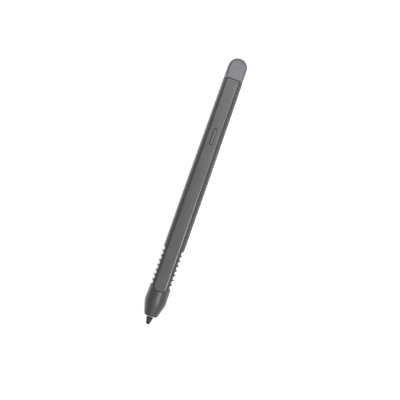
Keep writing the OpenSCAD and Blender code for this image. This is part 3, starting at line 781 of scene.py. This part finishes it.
class STYLUS_OT_barrel(bpy.types.Operator):
    """Builds the barrel: nose, grip, the pocket for the cover and the hollow inside"""

    bl_idname = "stylus.barrel"
    bl_label = "Barrel"

    def execute(self, context):
        s = context.scene.stylus_barrel
        trim = context.scene.stylus_trim
        paint = sprayed_resin("sprayed_resin_barrel", tuple(context.scene.stylus_finish.barrel), 0.36)
        low, high = reach("barrel")
        cover_low, cover_high = reach("top_cover")
        gap = 0.05 * MM
        pocket_floor = reach("cover_adhesive")[0].z
        pocket = (cover_low.x - gap, trim.cover_corner, cover_high.y + gap, pocket_floor, s.rim_edge)
        stations, outside = barrel_stations(s, low.x, pocket[0], trim.cover_corner, high.x)
        rings = []
        for k, along in enumerate(stations):
            section = barrel_section(s, along, high.x)
            rings.append(barrel_ring(along, section, pocket, k >= outside))
        shell = stacked("barrel_shell", rings, paint)
        chord = (s.notch_pitch - s.rib_tip) / 2
        notch_radius = (chord**2 + s.notch_depth**2) / (2 * s.notch_depth)
        half_pitch = s.notch_pitch / 2
        half_grip = s.notch_count * half_pitch
        grip_front = TIP_X + s.grip_start
        grown(shell, notch_tree(), {
            "First Root": grip_front + half_pitch, "Half Pitch": half_pitch,
            "Middle": grip_front + half_grip, "Half Length": half_grip,
            "Radius": notch_radius, "Centre": s.grip_width / 2 - s.notch_depth + notch_radius,
            "Edge": s.rib_edge, "Material": paint,
        })
        combined(shell, barrel_cutters(paint), "DIFFERENCE")
        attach(shell, "barrel")
        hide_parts("barrel")
        return {"FINISHED"}


# ---------------------------------------------------------------- cover and button


def cover_outline(front, rear, half, corner, stops, inset, height):
    """The cover's outline, moved inwards, with round corners towards the nib and points at the stops."""
    wide = max(half - inset, 0.01 * MM)
    radius = min(max(corner - inset, 0), wide)
    nose = front + inset
    back = rear - min(inset, 0.12 * MM)
    straight = wide - radius
    right = [(nose + radius * (1 - math.cos(a)), -straight - radius * math.sin(a)) for a in arc(90, 0, 10)]
    left = [(x, -y) for x, y in reversed(right)]
    sides = [back, *stops]
    run = [(x, -wide) for x in sides] + right + [(nose, 0)]
    run += left + [(x, wide) for x in reversed(sides)] + [(back, 0)]
    return [(x, y, height) for x, y in run]


def obround(middle, length_along, width, inset, height, count=24):
    """A slot's outline along the pen, moved inwards."""
    radius = max(width / 2 - inset, 0)
    run = (length_along - width) / 2
    ends = []
    for side in (1, -1):
        for a in arc(-90, 90, count):
            ends.append((middle + side * (run + radius * math.cos(a)), side * radius * math.sin(a), height))
    return ends


class STYLUS_OT_cover(bpy.types.Operator):
    """Builds the flat cover strip with its bevelled edge and the button's slot"""

    bl_idname = "stylus.cover"
    bl_label = "Cover"

    def execute(self, context):
        trim = context.scene.stylus_trim
        paint = sprayed_resin("sprayed_resin_cover", tuple(context.scene.stylus_finish.cover), 0.24, 0.14)
        low, high = reach("top_cover")
        key_low, key_high = reach("side_button")
        half = high.y
        edge_top = high.z - trim.cover_crown
        bevel = trim.cover_bevel
        foot = edge_top - trim.cover_fall
        soft = 0.05 * MM
        levels = [(low.z, soft), (low.z + soft, 0.0), (mix(low.z, foot, 0.6), 0.0)]
        levels += [(foot - soft + soft * math.sin(a), soft * (1 - math.cos(a))) for a in arc(0, 70, 3)]
        levels += [(mix(foot, edge_top, share), mix(soft, bevel, share)) for share in (0.15, 0.9)]
        for share in (0, 0.06, 0.2, 0.4, 0.6, 0.8, 1):
            inset = mix(bevel + 0.02 * MM, half - 0.03 * MM, share)
            levels.append((high.z - trim.cover_crown * (1 - share) ** 2, inset))
        middle = (key_low.x + key_high.x) / 2
        stops = [middle + trim.slot_length, middle - trim.slot_length]
        stops.append(mix(stops[-1], low.x + trim.cover_corner, 0.5))
        outlines = [
            cover_outline(low.x, high.x, half, trim.cover_corner, stops, inset, z) for z, inset in levels
        ]
        cover = stacked("cover_strip", outlines, paint)
        chamfer = [(low.z - MM, 0), (high.z - trim.slot_edge, 0), (high.z + MM, -MM - trim.slot_edge)]
        cutter = stacked(
            "slot_cutter",
            [obround(middle, trim.slot_length, trim.slot_width, inset, z) for z, inset in chamfer], paint,
        )
        combined(cover, [cutter], "DIFFERENCE")
        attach(cover, "barrel")
        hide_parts("top_cover")
        return {"FINISHED"}


class STYLUS_OT_button(bpy.types.Operator):
    """Builds the long key with its crowned top, its flange and the post under it"""

    bl_idname = "stylus.button"
    bl_label = "Button"

    def execute(self, context):
        trim = context.scene.stylus_trim
        resin = moulded_resin("moulded_resin_button", tuple(context.scene.stylus_finish.button), 0.32)
        low, high = reach("side_button")
        middle = (low.x + high.x) / 2
        flange_top = reach("top_cover")[0].z - 0.03 * MM
        flange_low = flange_top - 0.32 * MM
        key_length = trim.slot_length - 2 * trim.button_gap
        key_width = trim.slot_width - 2 * trim.button_gap
        flange = (high.x - low.x, high.y - low.y)
        post = (1.2 * MM, 1.2 * MM)
        edge = trim.button_edge
        crown = 0.05 * MM
        soft = 0.05 * MM
        post_soft = 0.06 * MM
        shoulder = high.z - crown - edge
        levels = [(post, post_soft, low.z), (post, 0, low.z + post_soft), (post, 0, flange_low)]
        levels += [(flange, soft, flange_low), (flange, 0, flange_low + soft)]
        levels += [(flange, 0, flange_top - soft), (flange, soft, flange_top)]
        key = (key_length, key_width)
        levels += [(key, 0, flange_top), (key, 0, shoulder)]
        levels += [(key, edge * (1 - math.cos(a)), shoulder + edge * math.sin(a)) for a in arc(0, 90, 6)]
        for share in (0.3, 0.6, 1.0):
            inset = mix(edge, key_width / 2 - 0.02 * MM, share)
            levels.append((key, inset, high.z - crown * (1 - share) ** 2))
        rings = [obround(middle, size[0], size[1], inset, z, 12) for size, inset, z in levels]
        button = stacked("button_key", rings, resin)
        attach(button, "button")
        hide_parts("side_button")
        return {"FINISHED"}


# ---------------------------------------------------------------- end cap


def cap_outline(front, rear, half, inset, height):
    """A half-round outline towards the rear, moved inwards. The front is a list of (x, y) points."""
    radius = half - inset
    centre = rear - half
    turn = [(centre + radius * math.cos(a), radius * math.sin(a)) for a in arc(-90, 90, 40)]
    right = [(x, min(y, radius)) for x, y in front]
    left = [(x, -y) for x, y in reversed(right[1:])]
    middle = mix(right[-1][0], centre, 0.5)
    run = left + right + [(middle, radius)] + list(reversed(turn)) + [(middle, -radius)]
    return [(x, y, height) for x, y in run]


def cap_front(s, strip_half, face, edge, inset, half, height):
    """The cap's front: straight across the strip, and leaning back where it stands over the shoulders."""
    seal = 0.15 * MM
    lean = 0.8
    rear = s.rear_width / 2
    points = [(face + edge, 0), (face + edge, strip_half)]
    for share in (0.02, 0.25, 0.5, 0.75, 1):
        across = mix(strip_half, half - inset, share)
        over = height - surface_height(min(across, rear), rear, s.back_top, s.upper_round)
        points.append((face - seal + lean * max(over, 0), across))
    return points


class STYLUS_OT_end_cap(bpy.types.Operator):
    """Builds the rounded end cap with its raised face, its plug and its two catches"""

    bl_idname = "stylus.end_cap"
    bl_label = "End cap"

    def execute(self, context):
        trim = context.scene.stylus_trim
        barrel = context.scene.stylus_barrel
        strip_half = reach("top_cover")[1].y
        resin = moulded_resin("moulded_resin_cap", tuple(context.scene.stylus_finish.cap), 0.25, 0.14, 3.0)
        low, high = reach("end_cap")
        front = reach("cap_gasket")[1].x + 0.02 * MM
        half = high.y
        foot = trim.cap_foot
        bevel = trim.cap_bevel
        soft = 0.1 * MM
        fall = 1.1 * MM
        crown = 0.05 * MM
        rim = high.z - crown
        glint = 0.3 * MM
        lip = rim - 0.075 * MM
        levels = [(foot * (1 - math.sin(a)), soft, low.z + foot * (1 - math.cos(a))) for a in arc(0, 90, 9)]
        levels += [(0, 0, mix(low.z + foot, lip - fall, share)) for share in (0.1, 0.5, 0.9)]
        turn = 72
        steepest = math.radians(turn)
        for a in arc(0, turn, 8):
            inwards = (bevel - glint) * (1 - math.cos(a)) / (1 - math.cos(steepest))
            below = fall * (1 - math.sin(a) / math.sin(steepest))
            levels.append((inwards, soft / 2, lip - below))
        levels += [(bevel - glint + 0.03 * MM, soft / 2, mix(lip, rim, 0.15))]
        levels += [(bevel - 0.02 * MM, soft, mix(lip, rim, 0.95)), (bevel, soft, rim)]
        centre_inset = half - 1.02 * strip_half
        for share in (0.5, 1):
            levels.append((mix(bevel, centre_inset, share), soft, rim + crown * (1 - (1 - share) ** 2)))
        outlines = []
        for inset, edge, z in levels:
            points = cap_front(barrel, strip_half, front, edge, inset, half, z)
            outlines.append(cap_outline(points, high.x, half, inset, z))
        cap = stacked("end_cap_shell", outlines, resin)
        plug_half = reach("carrier")[1].y + 0.05 * MM
        plug_low = reach("carrier")[0].z
        plug_top = reach("cover_adhesive")[0].z - 0.55 * MM
        plug = block((low.x, -plug_half, plug_low), (front + MM, plug_half, plug_top), resin, 0.15 * MM)
        catch_front, catch_rear = front - 3.7 * MM, front - 2.1 * MM
        catches = [
            block((catch_front, side * (plug_half - 0.03 * MM) - 0.1 * MM, -0.8 * MM),
                  (catch_rear, side * (plug_half + 0.07 * MM) + 0.07 * MM, 0.4 * MM), resin)
            for side in (-1, 1)
        ]
        combined(cap, [plug, *catches], "UNION")
        wall = 0.8 * MM
        hollow = block(
            (low.x - MM, -plug_half + wall, plug_low + wall),
            (front - 1.5 * MM, plug_half - wall, plug_top + MM), resin,
        )
        combined(cap, [hollow], "DIFFERENCE")
        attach(cap, "barrel")
        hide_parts("end_cap")
        return {"FINISHED"}


# ---------------------------------------------------------------- nib, ring and sensor


class STYLUS_OT_nib(bpy.types.Operator):
    """Builds the nib with its shank, and the plated ring behind it"""

    bl_idname = "stylus.nib"
    bl_label = "Nib and ring"

    def execute(self, context):
        trim = context.scene.stylus_trim
        finish = context.scene.stylus_finish
        low, high = reach("nib")
        base = high.y
        point = trim.nib_point
        slope = math.atan((base - point) / (trim.nib_length - point))
        turn = 90 - math.degrees(slope)
        edge = 0.16 * MM
        shank = trim.nib_shank / 2
        taper = 0.3 * MM
        bend = trim.nib_length - edge
        profile = [(point * (1 - math.cos(a)), point * math.sin(a)) for a in arc(0, turn, 14)]
        profile += [(bend - 0.12 * MM, base - 0.03 * MM)]
        profile += [(bend + edge * math.sin(a), base - edge * (1 - math.cos(a))) for a in arc(0, 90, 5)]
        profile += [(trim.nib_length, shank), (high.x - taper, shank)]
        profile += [(high.x - 0.05 * MM, shank - 0.2 * MM), (high.x, shank - taper), (high.x, 0)]
        nib = turned("nib_cone", profile, acetal_nib("turned_acetal_nib", tuple(finish.nib)))
        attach(nib, "nib")
        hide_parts("nib")
        ring_low, ring_high = reach("ring_electrode")
        outer = ring_high.y
        bore = 1.0 * MM
        lip = 0.14 * MM
        front = ring_low.x
        rounded = [(front + lip * (1 - math.cos(a)), outer - lip * (1 - math.sin(a))) for a in arc(0, 90, 5)]
        inner = [(front + lip * (1 - math.cos(a)), bore + lip * (1 - math.sin(a))) for a in arc(90, 0, 5)]
        loop = inner + rounded + [(ring_high.x, outer), (ring_high.x, bore)]
        plating = worked_metal("plated_ring", tuple(finish.ring), 0.3, 0.06)
        ring = stacked("contact_ring", [circle(*corner) for corner in loop + loop[:1]], plating)
        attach(ring, "barrel")
        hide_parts("ring_electrode")
        return {"FINISHED"}


def coil_tree():
    """Winds a compression spring along X, with one closed turn at each end."""
    tree, given, result = geometry_tree("return_spring", [
        ("Front", FLOAT), ("Rear", FLOAT), ("Coil Radius", FLOAT), ("Wire Radius", FLOAT), ("Turns", FLOAT),
        ("Height", FLOAT), ("Material", MATERIAL),
    ])
    sizes = given.outputs
    wound = add(tree, "GeometryNodeCurveSpiral", {
        "Resolution": 28, "Rotations": sizes["Turns"], "Start Radius": sizes["Coil Radius"],
        "End Radius": sizes["Coil Radius"], "Height": 0.0,
    }).outputs[0]

    # The closed turns at both ends take little of the spring's length, and the open ones take the rest
    along = add(tree, "GeometryNodeSplineParameter").outputs["Factor"]
    closed = add(tree, MATH, {0: 1.0, 1: sizes["Turns"]}, operation="DIVIDE").outputs[0]
    open_end = add(tree, MATH, {0: 1.0, 1: closed}, operation="SUBTRACT").outputs[0]
    closed_part = 0.055
    open_part = 1 - 2 * closed_part
    stretches = (
        (0.0, closed, closed_part),
        (closed, open_end, open_part),
        (open_end, 1.0, closed_part),
    )
    share = 0.0
    for start, end, part in stretches:
        stretch = {"Value": along, "From Min": start, "From Max": end, "To Max": part}
        risen = add(tree, RANGE, stretch).outputs[0]
        share = add(tree, MATH, {0: share, 1: risen}, operation="ADD").outputs[0]
    ends = {"Value": share, "To Min": sizes["Front"], "To Max": sizes["Rear"]}
    lengthwise = add(tree, RANGE, ends).outputs[0]

    # The flat spiral is stood up around the axis, and swept with the wire
    place = add(tree, "GeometryNodeInputPosition").outputs[0]
    split = add(tree, "ShaderNodeSeparateXYZ", {0: place}).outputs
    raised = add(tree, MATH, {0: split["Y"], 1: sizes["Height"]}, operation="ADD").outputs[0]
    point = add(tree, JOIN_XYZ, {"X": lengthwise, "Y": split["X"], "Z": raised}).outputs[0]
    moved = add(tree, "GeometryNodeSetPosition", {"Geometry": wound, "Position": point}).outputs[0]
    wire = add(tree, "GeometryNodeCurvePrimitiveCircle", {"Resolution": 12, "Radius": sizes["Wire Radius"]})
    swept = add(tree, "GeometryNodeCurveToMesh", {
        "Curve": moved, "Profile Curve": wire.outputs[0], "Fill Caps": True,
    }).outputs[0]
    whole = add(tree, "GeometryNodeRealizeInstances", {"Geometry": swept}).outputs[0]
    coated = add(tree, "GeometryNodeSetMaterial", {"Geometry": whole, "Material": sizes["Material"]})
    fill(tree, result, {"Geometry": coated.outputs[0]})
    return tree


class STYLUS_OT_sensor(bpy.types.Operator):
    """Builds the nib's return spring and the force sensor's silicone pad, which both give way"""

    bl_idname = "stylus.sensor"
    bl_label = "Spring and pad"

    def execute(self, context):
        low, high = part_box("nib_spring")
        wire = 0.12 * MM
        steel = worked_metal("spring_wire", linear("#c7c9cc"), 0.2, 0.3, False)
        spring = finished("return_spring", bpy.data.meshes.new("return_spring"), steel)
        grown(spring, coil_tree(), {
            "Front": low.x + wire, "Rear": high.x - wire, "Coil Radius": (high.y - low.y) / 2 - wire,
            "Wire Radius": wire, "Turns": float(context.scene.stylus_trim.spring_turns),
            "Height": AXIS_Z, "Material": steel,
        })
        spring.data.shade_smooth()
        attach(spring, "barrel")
        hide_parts("nib_spring")
        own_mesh(spring)
        pad_low, pad_high = reach("sensor_pad")
        radius = pad_high.y
        edge = 0.15 * MM
        bend = radius - edge
        profile = [(pad_low.x, 0), (pad_low.x, bend)]
        profile += [(pad_low.x + edge * (1 - math.cos(a)), bend + edge * math.sin(a)) for a in arc(0, 90, 5)]
        profile += [(pad_high.x - edge * (1 - math.sin(a)), bend + edge * math.cos(a)) for a in arc(0, 90, 5)]
        profile += [(pad_high.x, 0)]
        pad = turned("force_pad", profile, cured_rubber("silicone_pad", linear("#c8622c")), 48)
        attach(pad, "barrel")
        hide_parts("sensor_pad")
        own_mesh(pad)
        return {"FINISHED"}


# ---------------------------------------------------------------- board parts


def capacitor_tree():
    """Sets a short row of capacitors, each with two tinned ends, at every given point."""
    tree, given, result = geometry_tree("board_capacitors", [
        ("Pitch", FLOAT), ("Count", INTEGER), ("Width", FLOAT), ("Length", FLOAT), ("Height", FLOAT),
        ("Body Material", MATERIAL), ("End Material", MATERIAL),
    ])
    sizes = given.outputs
    step = add(tree, JOIN_XYZ, {"X": sizes["Pitch"]}).outputs[0]
    row = add(tree, "GeometryNodeMeshLine", {"Count": sizes["Count"], "Offset": step}).outputs[0]
    starts = {"Points": sizes["Geometry"], "Instance": row}
    rows = add(tree, "GeometryNodeInstanceOnPoints", starts).outputs[0]
    spots = add(tree, "GeometryNodeRealizeInstances", {"Geometry": rows}).outputs[0]

    # One capacitor: a slightly slimmer body over half its length, and an end a quarter long on each side
    sides = {"X": sizes["Width"], "Y": sizes["Length"], "Z": sizes["Height"]}
    whole_size = add(tree, JOIN_XYZ, sides).outputs[0]
    body_part = {0: whole_size, 1: (0.92, 0.5, 0.92)}
    body_size = add(tree, VECTOR_MATH, body_part, operation="MULTIPLY").outputs[0]
    end_size = add(tree, VECTOR_MATH, {0: whole_size, 1: (1, 0.25, 1)}, operation="MULTIPLY").outputs[0]
    parts = [add(tree, "GeometryNodeMeshCube", {"Size": body_size}).outputs["Mesh"]]
    for side in (-0.375, 0.375):
        cube = add(tree, "GeometryNodeMeshCube", {"Size": end_size}).outputs["Mesh"]
        shift = add(tree, VECTOR_MATH, {0: whole_size, 1: (0, side, 0)}, operation="MULTIPLY").outputs[0]
        moved = add(tree, "GeometryNodeTransform", {"Geometry": cube, "Translation": shift}).outputs[0]
        marked = add(tree, "GeometryNodeStoreNamedAttribute", {
            "Geometry": moved, "Name": "tinned", "Value": True,
        }, data_type="BOOLEAN", domain="FACE").outputs[0]
        parts.append(marked)
    joined = add(tree, "GeometryNodeJoinGeometry")
    for part in parts:
        fill(tree, joined, {0: part})

    # A capacitor at every spot, with tin on its ends
    pairs = {"Points": spots, "Instance": joined.outputs[0]}
    placed = add(tree, "GeometryNodeInstanceOnPoints", pairs).outputs[0]
    whole = add(tree, "GeometryNodeRealizeInstances", {"Geometry": placed}).outputs[0]
    body_coat = {"Geometry": whole, "Material": sizes["Body Material"]}
    plain = add(tree, "GeometryNodeSetMaterial", body_coat).outputs[0]
    mark = add(tree, "GeometryNodeInputNamedAttribute", {"Name": "tinned"}, data_type="BOOLEAN")
    coated = add(tree, "GeometryNodeSetMaterial", {
        "Geometry": plain, "Selection": mark.outputs["Attribute"], "Material": sizes["End Material"],
    })
    fill(tree, result, {"Geometry": coated.outputs[0]})
    return tree


class STYLUS_OT_board_parts(bpy.types.Operator):
    """Builds the rows of small capacitors on the circuit board"""

    bl_idname = "stylus.board_parts"
    bl_label = "Capacitors"

    def execute(self, context):
        trim = context.scene.stylus_trim
        low, high = reach("passives")
        height = high.z - low.z
        body = sintered("barium_titanate", linear("#b79a6a"))
        tin = plated_metal("tinned_ends", linear("#cfd0d0"), 0.35)
        spots = bpy.data.meshes.new("board_capacitors")
        middle = (low.z + high.z) / 2
        starts = [at(x, side * trim.block_side, middle) for x in trim.block_groups for side in (-1, 1)]
        spots.from_pydata(starts, [], [])
        blocks = bpy.data.objects.new("board_capacitors", spots)
        context.scene.collection.objects.link(blocks)
        grown(blocks, capacitor_tree(), {
            "Pitch": trim.block_pitch, "Count": 3, "Width": trim.block_length / 2,
            "Length": trim.block_length, "Height": height, "Body Material": body, "End Material": tin,
        })
        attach(blocks, "barrel")
        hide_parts("passives")
        return {"FINISHED"}


class STYLUS_OT_kept_parts(bpy.types.Operator):
    """Gives every kept node of the frame its own finish"""

    bl_idname = "stylus.kept_parts"
    bl_label = "Inner parts"

    def execute(self, context):
        for node, make, words in KEPT:
            material = make(*words)
            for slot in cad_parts[node].material_slots:
                slot.material = material
        return {"FINISHED"}


# ---------------------------------------------------------------- stage


def softbox(name, place, target, size, watts):
    """A rectangular light that looks at a target. Its first side lies along the pen."""
    data = bpy.data.lights.new(name, "AREA")
    data.shape = "RECTANGLE"
    data.size, data.size_y = size
    data.energy = watts
    lamp = bpy.data.objects.new(name, data)
    bpy.context.scene.collection.objects.link(lamp)
    back = (place - target).normalized()
    side = (Vector((1, 0, 0)) - back * back.x).normalized()
    lamp.matrix_world = Matrix((side, back.cross(side), back)).transposed().to_4x4()
    lamp.location = place


class STYLUS_OT_stage(bpy.types.Operator):
    """Sets the pale floor, the soft lights and the camera"""

    bl_idname = "stylus.stage"
    bl_label = "Stage"

    def execute(self, context):
        s = context.scene.stylus_stage
        low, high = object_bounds()
        middle = (low + high) / 2
        into = Vector((math.cos(s.turn), math.sin(s.turn), 0))
        right = Vector((math.sin(s.turn), -math.cos(s.turn), 0))
        up = Vector((0, 0, 1))
        across = Vector((0, -1, 0))

        # Opal acrylic on a light table: white all over, lit from below, and so almost free of shadows
        paper, tree, shader, place = begun(
            "opal_acrylic_sheet", linear("#f4f4f4"), 0.9,
            Emission_Color=linear("#ffffff"), Emission_Strength=0.45,
        )
        cloud = add(tree, NOISE, {"Vector": place, "Scale": per(30), "Detail": 3.0}).outputs[0]
        cloud = add(tree, RANGE, {"Value": cloud, "From Min": 0.3, "From Max": 0.7}).outputs[0]
        pale, paler = linear("#f3f3f3"), linear("#f6f6f6")
        tint = add(tree, MIX, {0: cloud, 6: pale, 7: paler}, data_type="RGBA").outputs[2]
        fill(tree, shader, {"Base Color": tint})
        side = 1.5
        plane = bpy.data.meshes.new("floor")
        corners = [(-side, -side, low.z), (side, -side, low.z), (side, side, low.z), (-side, side, low.z)]
        plane.from_pydata(corners, [], [(0, 1, 2, 3)])
        plane.materials.append(paper)
        floor = bpy.data.objects.new("floor", plane)
        context.scene.collection.objects.link(floor)
        floor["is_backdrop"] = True

        world = bpy.data.worlds.new("pale_room")
        world.use_nodes = True
        room = world.node_tree
        toward = add(room, "ShaderNodeTexCoord").outputs["Generated"]
        facing = add(room, VECTOR_MATH, {0: toward, 1: across}, operation="DOT_PRODUCT").outputs["Value"]
        strength = add(room, RANGE, {
            "Value": facing, "From Min": -1.0, "From Max": 1.0,
            "To Min": s.world * (1 - s.slant), "To Max": s.world * (1 + s.slant),
        }).outputs[0]
        fill(room, room.nodes["Background"], {"Color": linear("#fbfcff"), "Strength": strength})
        context.scene.world = world
        context.scene.view_settings.view_transform = "Standard"

        softbox("key", middle + across * 0.16 + up * 0.47 - into * 0.08, middle, (0.22, 0.13), 1.35)
        softbox("overhead", middle + up * 0.7, middle, (0.5, 0.4), 0.5)
        softbox("key_rear", middle + across * 0.16 + up * 0.47 + into * 0.15, middle, (0.2, 0.13), 0.65)
        softbox("rear", middle + into * 0.28 - across * 0.06 + up * 0.6, middle, (0.2, 0.3), 0.5)

        lens = bpy.data.cameras.new("camera")
        lens.sensor_width = 36
        lens.lens = s.lens
        lens.clip_start = 0.01
        camera = bpy.data.objects.new("camera", lens)
        context.scene.collection.objects.link(camera)
        back = up * math.sin(s.elevation) - into * math.cos(s.elevation)
        aim = middle + right * s.aim_right - into * s.aim_down
        camera.location = aim + back * s.distance
        camera.rotation_mode = "QUATERNION"
        camera.rotation_quaternion = (-back).to_track_quat("-Z", "Y")
        context.scene.camera = camera
        return {"FINISHED"}


class STYLUS_PT_panel(bpy.types.Panel):
    """Lists the stylus's pieces and its settings"""

    bl_idname = "STYLUS_PT_panel"
    bl_label = "Active stylus"
    bl_space_type = "VIEW_3D"
    bl_region_type = "UI"
    bl_category = "Stylus"

    def draw(self, context):
        for operator in STEPS:
            self.layout.operator(operator.bl_idname)
        for group, _ in GROUPS:
            box = self.layout.box()
            settings = getattr(context.scene, group)
            for name in settings.__annotations__:
                box.prop(settings, name)


GROUPS = [
    ("stylus_barrel", StylusBarrel), ("stylus_trim", StylusTrim),
    ("stylus_finish", StylusFinish), ("stylus_stage", StylusStage),
]
STEPS = [
    STYLUS_OT_barrel, STYLUS_OT_cover, STYLUS_OT_button, STYLUS_OT_end_cap, STYLUS_OT_nib,
    STYLUS_OT_sensor, STYLUS_OT_board_parts, STYLUS_OT_kept_parts, STYLUS_OT_stage,
]


def register():
    for group, settings in GROUPS:
        bpy.utils.register_class(settings)
        setattr(bpy.types.Scene, group, PointerProperty(type=settings))
    for step in STEPS:
        bpy.utils.register_class(step)
    bpy.utils.register_class(STYLUS_PT_panel)


def unregister():
    bpy.utils.unregister_class(STYLUS_PT_panel)
    for step in reversed(STEPS):
        bpy.utils.unregister_class(step)
    for group, settings in reversed(GROUPS):
        delattr(bpy.types.Scene, group)
        bpy.utils.unregister_class(settings)


def main():
    register()
    bpy.ops.stylus.barrel()
    bpy.ops.stylus.cover()
    bpy.ops.stylus.button()
    bpy.ops.stylus.end_cap()
    bpy.ops.stylus.nib()
    bpy.ops.stylus.sensor()
    bpy.ops.stylus.board_parts()
    bpy.ops.stylus.kept_parts()
    bpy.ops.stylus.stage()


if __name__ == "__main__":
    main()
